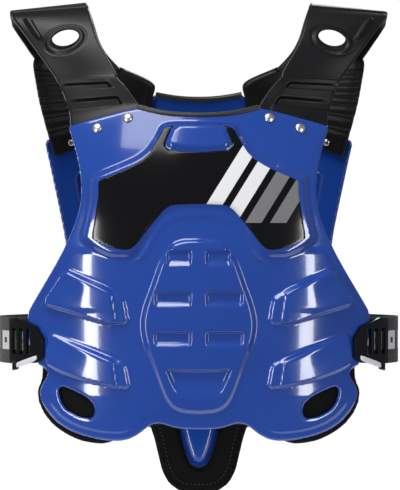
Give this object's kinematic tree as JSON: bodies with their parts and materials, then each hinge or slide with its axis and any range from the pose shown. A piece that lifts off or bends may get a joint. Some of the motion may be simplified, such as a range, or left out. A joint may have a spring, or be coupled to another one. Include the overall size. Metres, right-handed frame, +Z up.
{
  "type": "roost deflector",
  "caption": "Moulded chest and back protector for off-road riding, with shoulder straps, foam liners and elastic side straps with ladder buckles.",
  "frame": {"origin": "midway between the two shoulders, on the underside of the shoulder straps' crest, where the wearer's shoulders carry it", "axes": "+X towards the wearer's left, the chest plate faces -Y, +Z up"},
  "size_m": [0.4352, 0.2478, 0.548],
  "materials": {
    "blue_shell": "polished injection-moulded polypropylene",
    "decal": "glossy printed film",
    "edging": "satin extruded rubber",
    "foam": "closed-cell foam with a fine skin",
    "strap": "soft moulded plastic, fine grain",
    "buckle": "polished moulded nylon",
    "webbing": "woven elastic webbing",
    "rivet": "nickel-plated dome"
  },
  "bodies": {
    "root": {"chest_plate": "blue_shell", "back_plate": "blue_shell", "chest_decal": "decal", "chest_neck_edging": "edging", "back_neck_edging": "edging", "chest_liner": "foam", "back_liner": "foam", "shoulder_strap_left": "strap", "shoulder_strap_right": "strap", "side_buckle_left": "buckle", "side_buckle_right": "buckle", "side_webbing_left": "webbing", "side_webbing_right": "webbing", "chest_rivet_1_left": "rivet", "chest_rivet_1_right": "rivet", "chest_rivet_2_left": "rivet", "chest_rivet_2_right": "rivet", "back_rivet_1_left": "rivet", "back_rivet_1_right": "rivet", "back_rivet_2_left": "rivet", "back_rivet_2_right": "rivet", "webbing_rivet_left": "rivet", "webbing_rivet_right": "rivet"}
  },
  "joints": []
}
